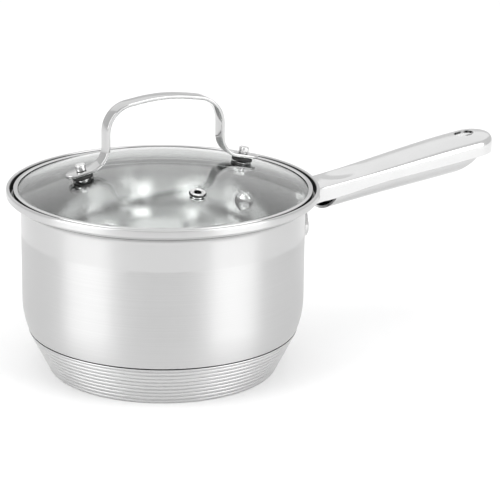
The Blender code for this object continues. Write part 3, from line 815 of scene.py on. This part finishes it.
def rivet_place(wall, node):
    """Where a rivet crosses the wall, with its local Z axis pointing out of the pan."""
    centre = middle_of(node)
    turn = math.atan2(centre.y, centre.x)
    out = Matrix.Rotation(turn, 4, "Z") @ Matrix.Rotation(math.pi / 2, 4, "Y")
    return Matrix.Translation((wall * math.cos(turn), wall * math.sin(turn), centre.z)) @ out


RIVET_HEAD = 0.0060  # radius of the domed head inside the pan
RIVET_DOME = 0.0034  # height of the dome
RIVET_SHANK = 0.0026
RIVET_REACH = 0.0029  # from the wall's outside to the tail
# The tail's outline, as radius and height
RIVET_TAIL = ((0.0046, 0.0), (0.0044, 0.0003), (0.0038, 0.0006), (0.0, 0.0008))
DOME_STEPS = 14


def rivet_outline(pan):
    """From the middle of the head's dome, over the shank, to the middle of the flat tail."""
    head_face = -(pan.sheet + GAP + RIVET_HEAD ** 2 / (2 * pan.radius))
    outline = []
    for step in range(DOME_STEPS + 1):
        turn = step / DOME_STEPS * math.pi / 2
        outline.append((RIVET_HEAD * math.sin(turn), head_face - RIVET_DOME * math.cos(turn)))
    outline += [(RIVET_SHANK, head_face), (RIVET_SHANK, RIVET_REACH)]
    return outline + [(radius, RIVET_REACH + height) for radius, height in RIVET_TAIL]


class SAUCEPAN_OT_rivets(bpy.types.Operator):
    """Builds the two domed rivets that hold the handle"""
    bl_idname = "saucepan.rivets"
    bl_label = "Rivets"

    def execute(self, context):
        pan = context.scene.saucepan_pan
        look = bright_steel("rivet_bright_steel", context.scene.saucepan_finishes.steel,
                            roughness=0.13)
        for side in ("front", "rear"):
            node = "handle_rivet_" + side
            place = rivet_place(pan.radius, node)
            shape = spun(rivet_outline(pan), SMALL_SIDES)
            rivet = add_piece("rivet_" + side, shape, look, place)
            settle(rivet, "pan", "rivet_steel", node)
        return {"FINISHED"}


# Lid

PLACE_HEIGHT = 0.0052  # over the glass, where a leaning screw's place is taken
SHANK = 0.0020  # radius of a screw
BORE = SHANK + GAP
BUSH = 0.0008  # wall of the bush round a screw in the glass
SEAL_RADIUS = 0.0055  # of a silicone seal under the glass
SEAL_HEIGHT = 0.0015
WASHER_RADIUS = 0.0050  # of the steel washer under it
WASHER_HEIGHT = 0.0010
HEAD_RADIUS = 0.0040  # of a screw's head
HEAD_HEIGHT = 0.0024
NUT_ROOF = 0.0016  # thickness of a cap nut's closed end
PAD_LENGTH = 0.0120
PAD_WIDTH = 0.0095
PAD_BEVEL = 0.0004
VENT_BORE = 0.0021  # radius of the hole for the steam
VENT_TUBE = 0.0028  # outer radius of the eyelet's tube
VENT_CURL = 0.0039  # outer radius of its curled lower end
VENT_CURL_HEIGHT = 0.0008
VENT_FLANGE = 0.0043  # outer radius of its flange on the glass
VENT_SEAL = 0.0048
VENT_RING_HEIGHT = 0.0006  # of its seal and its washer
VENT_WASHER = 0.0044
VENT_SOFT = 0.0001  # softened corners of the vent's thin rings
STRAP_KNEE = 0.0055  # from the strap's crown down to its upper corners
ANKLE_FILLET = 0.012  # of the strap's middle line, where a foot turns up into a leg
KNEE_FILLET = 0.016
CROWN_FILLET = 0.090
STRAP_SOFT = 0.0006  # radius of its rounded edges
STRAP_BLUNT = 0.02  # part of its width that its rounded ends are cut short by
TOES = (0.03, 0.10, 0.22, 0.4, 0.7, 1.0)  # sections from a foot's tip, in half widths
GLASS_RINGS = 36


class LidShape:
    """The dome of the glass and where its fittings stand."""

    def __init__(self, lid):
        self.lid = lid
        self.radius = BAND_RADIUS - lid.band - GAP
        self.dome = (self.radius ** 2 + lid.rise ** 2) / (2 * lid.rise)
        self.edge = DOME_TOP - lid.rise
        self.stud = STUD_PLACE.length * (1 - PLACE_HEIGHT / self.dome)

    def height(self, radius, depth=0.0):
        """Height of the glass at a radius, on its upper surface or depth below it."""
        return DOME_TOP - self.dome + math.sqrt((self.dome - depth) ** 2 - radius ** 2)

    def place(self, span, turn):
        """A place on the upper surface, with its local Z axis pointing out of the glass."""
        lean = Matrix.Rotation(math.asin(span / self.dome), 4, "Y")
        point = Matrix.Translation((span, 0, self.height(span)))
        return Matrix.Rotation(turn, 4, "Z") @ point @ lean

    def studs(self):
        turn = math.atan2(STUD_PLACE.y, STUD_PLACE.x)
        return {"left": self.place(self.stud, turn + math.pi), "right": self.place(self.stud, turn)}

    def vent(self):
        return self.place(VENT_PLACE.length, math.atan2(VENT_PLACE.y, VENT_PLACE.x))


class SAUCEPAN_OT_glass(bpy.types.Operator):
    """Builds the domed glass with its three holes"""
    bl_idname = "saucepan.glass"
    bl_label = "Glass"

    def execute(self, context):
        lid = context.scene.saucepan_lid
        shape = LidShape(lid)
        edge = shape.radius - lid.glass / 4
        upper = [blend(0, edge, step / GLASS_RINGS) for step in range(GLASS_RINGS + 1)]
        low = shape.height(shape.radius, lid.glass)
        outline = [(radius, shape.height(radius)) for radius in upper]
        outline += [(shape.radius, blend(low, shape.edge, part)) for part in (0.75, 0.5, 0.25)]
        outline += [(radius, shape.height(radius, lid.glass)) for radius in reversed(upper)]
        look = clear_glass("lid_clear_glass", context.scene.saucepan_finishes.glass)
        glass = add_piece("lid_domed_glass", spun(outline, GLASS_SIDES), look)
        reach = 3 * lid.glass
        cutters = [pin(BORE + BUSH + GAP, -reach, reach, place, look)
                   for place in shape.studs().values()]
        cutters.append(pin(VENT_TUBE + GAP, -reach, reach, shape.vent(), look))
        cut_away(glass, cutters)
        settle(glass, "lid", "lid_glass", "lid_glass")
        return {"FINISHED"}


class SAUCEPAN_OT_band(bpy.types.Operator):
    """Builds the steel band round the glass"""
    bl_idname = "saucepan.band"
    bl_label = "Rim band"

    def execute(self, context):
        lid = context.scene.saucepan_lid
        shape = LidShape(lid)
        inner = BAND_RADIUS - lid.cover
        wall = BAND_RADIUS - lid.band
        over = shape.height(inner) + GAP
        under = shape.height(inner, lid.glass) - GAP
        under_wall = shape.height(wall, lid.glass) - GAP
        outline = rounded([
            (inner, over, 0),
            (wall, max(over, shape.edge + GAP), 0),
            (wall, under_wall, 0),
            (inner, under, 0),
            (inner, under - lid.band, 0),
            (BAND_RADIUS, under_wall - lid.band, 0.0004),
            (BAND_RADIUS, BAND_TOP - 0.0001, 0.0007),
            (inner + lid.band, BAND_TOP, 0.0009),
            (inner, over + 0.0001, 0),
        ])
        look = turned_steel("band_bright_steel", context.scene.saucepan_finishes.steel,
                            roughness=0.12, fineness=900, dark=0.96)
        band = add_piece("lid_band", spun(outline, LARGE_SIDES, ring=True), look)
        settle(band, "lid", "band_steel", "lid_rim_band")
        return {"FINISHED"}


def strap_path(shape):
    """(across the lid, height) along the middle of the strap, from one foot's tip to the other."""
    lid = shape.lid
    stack = lid.pad + 2 * GAP + lid.strap_sheet / 2
    lean = math.asin(shape.stud / shape.dome)
    up = Vector((math.sin(lean), math.cos(lean)))
    out = Vector((math.cos(lean), -math.sin(lean)))
    stud = Vector((shape.stud, shape.height(shape.stud))) + up * stack
    tip = stud + out * lid.foot
    ankle = stud - out * ((stud.x - lid.strap_span) / out.x)
    crown = DOME_TOP + lid.strap_rise
    toes = [tip - out * (lid.strap_width / 2 * part) for part in TOES]
    half = [(tip.x, tip.y, 0)]
    half += [(toe.x, toe.y, 0) for toe in toes]
    half += [(ankle.x, ankle.y, ANKLE_FILLET), (lid.strap_span, crown - STRAP_KNEE, KNEE_FILLET)]
    mirrored = [(-across, height, radius) for across, height, radius in reversed(half)]
    return rounded(half + [(0, crown, CROWN_FILLET)] + mirrored, steps=16)


def strap_ring(point, along, width, thickness):
    """The strap's rounded section across the direction it runs in."""
    normal = Vector((-along.y, along.x))
    soft = min(STRAP_SOFT, width * 0.4)
    ring = []
    for up, side, first in ((1, -1, 180), (1, 1, 90), (-1, 1, 0), (-1, -1, -90)):
        for step in range(5):
            turn = math.radians(first - 90 * step / 4)
            lift = up * (thickness / 2 - soft) + soft * math.sin(turn)
            across = side * (width - soft) + soft * math.cos(turn)
            edge = point + normal * lift
            ring.append(Vector((edge.x, across, edge.y)))
    return ring + ring[:1]


class SAUCEPAN_OT_strap(bpy.types.Operator):
    """Builds the strap handle of the lid"""
    bl_idname = "saucepan.strap"
    bl_label = "Lid handle"

    def execute(self, context):
        lid = context.scene.saucepan_lid
        shape = LidShape(lid)
        path = [Vector(point) for point in strap_path(shape)]
        half_width = lid.strap_width / 2
        rows = []
        for index, point in enumerate(path):
            ahead = path[min(index + 1, len(path) - 1)] - path[max(index - 1, 0)]
            from_tip = min((point - path[0]).length, (point - path[-1]).length)
            short = max(0.0, 1 - (from_tip + lid.strap_width * STRAP_BLUNT) / half_width)
            width = half_width * math.sqrt(1 - short ** 2)
            rows.append(strap_ring(point, ahead.normalized(), width, lid.strap_sheet))
        look = bright_steel("strap_bright_steel", context.scene.saucepan_finishes.strap,
                            roughness=0.08)
        sweep = sheet_through(rows)
        bmesh.ops.remove_doubles(sweep, verts=sweep.verts, dist=WELD)
        bmesh.ops.holes_fill(sweep, edges=sweep.edges)
        turn = Matrix.Rotation(math.atan2(STUD_PLACE.y, STUD_PLACE.x), 4, "Z")
        strap = add_piece("lid_strap", sweep, look, turn)
        high = 3 * (lid.pad + lid.strap_sheet)
        cut_away(strap, [pin(BORE, 0, high, place, look) for place in shape.studs().values()])
        settle(strap, "lid", "strap_steel", "lid_strap_handle")
        return {"FINISHED"}


def sleeve(inner, outer, low, high, soft=0.0002):
    """A ring's outline with softened outer corners."""
    return [(inner, low), (outer - soft, low), (outer, low + soft), (outer, high - soft),
            (outer - soft, high), (inner, high)]


def stud_outlines(shape):
    """{part: (outline, closed)} of the turned pieces on one screw, in the stud's own place."""
    lid = shape.lid
    seal_top = -lid.glass - GAP - SEAL_RADIUS ** 2 / (2 * shape.dome)
    seal_low = seal_top - SEAL_HEIGHT
    washer_top = seal_low - GAP
    washer_low = washer_top - WASHER_HEIGHT
    head_top = washer_low - GAP
    head_low = head_top - HEAD_HEIGHT
    nut_low = lid.pad + lid.strap_sheet + 3 * GAP
    nut_top = nut_low + lid.nut_height
    bore_top = nut_top - NUT_ROOF
    screw_top = bore_top - GAP
    screw = rounded([
        (0, head_low, 0),
        (HEAD_RADIUS - 0.0008, head_low, 0.0006),
        (HEAD_RADIUS, head_top - 0.0006, 0.0004),
        (HEAD_RADIUS, head_top, 0),
        (SHANK, head_top, 0),
        (SHANK, screw_top, 0),
        (0, screw_top, 0),
    ])
    nut = rounded([
        (BORE, nut_low, 0),
        (lid.nut_radius, nut_low, 0.0003),
        (lid.nut_radius, nut_top, 0.0009),
        (0, nut_top, 0),
        (0, bore_top, 0),
        (BORE, bore_top, 0),
    ])
    return {
        "bush": (sleeve(BORE, BORE + BUSH, GAP - lid.glass, -GAP), True),
        "inner_seal": (sleeve(BORE, SEAL_RADIUS, seal_low, seal_top), True),
        "inner_washer": (sleeve(BORE, WASHER_RADIUS, washer_low, washer_top), True),
        "screw": (screw, False),
        "nut": (nut, True),
    }


def add_pad(shape, side, place, look):
    pad = stadium(PAD_LENGTH, PAD_WIDTH, GAP, shape.lid.pad + GAP)
    rims = [edge for edge in pad.edges if abs(edge.verts[0].co.z - edge.verts[1].co.z) < WELD]
    bmesh.ops.bevel(pad, geom=rims, offset=PAD_BEVEL, segments=3, profile=0.5, affect="EDGES",
                    material=-1)
    piece = add_piece("foot_pad_" + side, pad, look, place)
    cut_away(piece, [pin(BORE, -GAP, 3 * shape.lid.pad, place, look)])
    settle(piece, "lid", "seal_silicone", "lid_pad_" + side)


class SAUCEPAN_OT_studs(bpy.types.Operator):
    """Builds the screws, nuts, pads, bushes, seals and washers under the lid handle"""
    bl_idname = "saucepan.studs"
    bl_label = "Lid fasteners"

    def execute(self, context):
        shape = LidShape(context.scene.saucepan_lid)
        steel = fastener_steel(context.scene)
        rubber = silicone(context.scene)
        for side, place in shape.studs().items():
            add_pad(shape, side, place, rubber)
            for part, (outline, closed) in stud_outlines(shape).items():
                soft = part in ("bush", "inner_seal")
                look, slot = (rubber, "seal_silicone") if soft else (steel, "fastener_steel")
                turned = spun(outline, SMALL_SIDES, closed)
                piece = add_piece(f"stud_{part}_{side}", turned, look, place)
                settle(piece, "lid", slot, f"lid_{part}_{side}")
        return {"FINISHED"}


class SAUCEPAN_OT_vent(bpy.types.Operator):
    """Builds the steam vent's eyelet, seal and washer"""
    bl_idname = "saucepan.vent"
    bl_label = "Steam vent"

    def execute(self, context):
        shape = LidShape(context.scene.saucepan_lid)
        steel = fastener_steel(context.scene)
        rubber = silicone(context.scene)
        seal_top = GAP + VENT_RING_HEIGHT
        seat = seal_top + GAP
        washer_top = -shape.lid.glass - GAP - VENT_WASHER ** 2 / (2 * shape.dome)
        washer_low = washer_top - VENT_RING_HEIGHT
        curl_top = washer_low - GAP
        curl_low = curl_top - VENT_CURL_HEIGHT
        eyelet = rounded([
            (VENT_CURL, curl_low, 0.0003),
            (VENT_CURL, curl_top, 0),
            (VENT_TUBE, curl_top, 0),
            (VENT_TUBE, seat, 0),
            (VENT_FLANGE, seat, 0),
            (VENT_FLANGE, seat + 0.0004, 0),
            (VENT_FLANGE - 0.0009, seat + 0.0009, 0.0012),
            (VENT_BORE, seat + 0.0003, 0),
            (VENT_BORE, curl_low, 0),
        ])
        hole = VENT_TUBE + GAP
        washer = sleeve(hole, VENT_WASHER, washer_low, washer_top, VENT_SOFT)
        seal = sleeve(hole, VENT_SEAL, GAP, seal_top, VENT_SOFT)
        parts = (
            ("vent_turned_eyelet", eyelet, steel, "fastener_steel", "vent_eyelet"),
            ("vent_lower_washer", washer, steel, "fastener_steel", "vent_washer"),
            ("vent_ring_seal", seal, rubber, "seal_silicone", "vent_seal"),
        )
        for name, outline, look, slot, node in parts:
            piece = add_piece(name, spun(outline, SMALL_SIDES, ring=True), look, shape.vent())
            settle(piece, "lid", slot, node)
        return {"FINISHED"}


# Stage

FLOOR_SHADE = (0.93, 0.93, 0.93)
LIGHTS = (
    # name, degrees to the right of the camera and over the floor, distance, size, watts
    ("left_softbox", -62, 28, 1.6, (1.2, 1.5), 14.0),
    ("right_softbox", 58, 28, 1.6, (1.2, 1.5), 14.0),
    ("rear_softbox", 180, 47, 2.4, (3.4, 2.4), 8.5),
    ("overhead", 0, 88, 2.2, (1.4, 1.4), 5.0),
)


def towards(turn, lift):
    """A unit vector at a turn from the handle and a lift over the floor."""
    flat = math.cos(lift)
    return Vector((flat * math.cos(turn), flat * math.sin(turn), math.sin(lift)))


def add_light(name, out, distance, size, power):
    """A soft rectangular light in a direction from the pan's middle, turned to face it."""
    light = bpy.data.lights.new(name, "AREA")
    light.shape = "RECTANGLE"
    light.size, light.size_y = size
    light.energy = power
    lamp = bpy.data.objects.new(name, light)
    bpy.context.scene.collection.objects.link(lamp)
    lamp.location = Vector((0, 0, PAN_TOP / 2)) + out * distance
    lamp.rotation_euler = (-out).to_track_quat("-Z", "Y").to_euler()


def add_camera(stage):
    camera = bpy.data.objects.new("camera", bpy.data.cameras.new("camera"))
    bpy.context.scene.collection.objects.link(camera)
    camera.data.lens = stage.lens
    camera.data.sensor_width = 36.0
    camera.data.clip_end = 50.0
    spot = towards(stage.azimuth, stage.elevation) * stage.distance
    aim = (-spot).to_track_quat("-Z", "Y").to_matrix().to_4x4()
    turned = aim @ Matrix.Rotation(stage.turn, 4, "Y") @ Matrix.Rotation(stage.lift, 4, "X")
    camera.matrix_world = Matrix.Translation(spot) @ turned
    bpy.context.scene.camera = camera


class SAUCEPAN_OT_stage(bpy.types.Operator):
    """Adds the floor, the studio light and the camera"""
    bl_idname = "saucepan.stage"
    bl_label = "Stage"

    def execute(self, context):
        stage = context.scene.saucepan_stage
        floor = bmesh.new()
        bmesh.ops.create_grid(floor, x_segments=2, y_segments=2, size=stage.floor / 2)
        plate = add_piece("studio_floor", floor, pale_floor("pale_floor", FLOOR_SHADE))
        world = bpy.data.worlds.new("studio")
        context.scene.world = world
        world.use_nodes = True
        background = world.node_tree.nodes["Background"]
        background.inputs["Color"].default_value = (stage.sky, stage.sky, stage.sky, 1)
        context.scene.view_settings.view_transform = "Standard"
        for name, turn, lift, distance, size, power in LIGHTS:
            out = towards(stage.azimuth + math.radians(turn), math.radians(lift))
            add_light(name, out, distance, size, power)
        add_camera(stage)
        return {"FINISHED"}


PIECES = (SAUCEPAN_OT_pan, SAUCEPAN_OT_base, SAUCEPAN_OT_handle, SAUCEPAN_OT_rivets,
          SAUCEPAN_OT_glass, SAUCEPAN_OT_band, SAUCEPAN_OT_strap, SAUCEPAN_OT_studs,
          SAUCEPAN_OT_vent, SAUCEPAN_OT_stage)
GROUPS = {
    "saucepan_pan": SaucepanPanSizes,
    "saucepan_handle": SaucepanHandleSizes,
    "saucepan_lid": SaucepanLidSizes,
    "saucepan_finishes": SaucepanFinishes,
    "saucepan_stage": SaucepanStageSizes,
}


class SAUCEPAN_PT_sidebar(bpy.types.Panel):
    """Sizes and steps of the saucepan"""
    bl_idname = "SAUCEPAN_PT_sidebar"
    bl_label = "Saucepan"
    bl_space_type = "VIEW_3D"
    bl_region_type = "UI"
    bl_category = "Saucepan"

    def draw(self, context):
        layout = self.layout
        for name in GROUPS:
            group = getattr(context.scene, name)
            column = layout.box().column()
            for key in group.bl_rna.properties.keys():
                if key not in ("rna_type", "name"):
                    column.prop(group, key)
        for piece in PIECES:
            layout.operator(piece.bl_idname)


CLASSES = (*GROUPS.values(), *PIECES, SAUCEPAN_PT_sidebar)


def register():
    for made in CLASSES:
        bpy.utils.register_class(made)
    for name, group in GROUPS.items():
        setattr(bpy.types.Scene, name, PointerProperty(type=group))


def unregister():
    for name in GROUPS:
        delattr(bpy.types.Scene, name)
    for made in reversed(CLASSES):
        bpy.utils.unregister_class(made)


def main():
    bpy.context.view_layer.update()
    register()
    for piece in PIECES:
        group, operator = piece.bl_idname.split(".")
        getattr(getattr(bpy.ops, group), operator)()


if __name__ == "__main__":
    main()
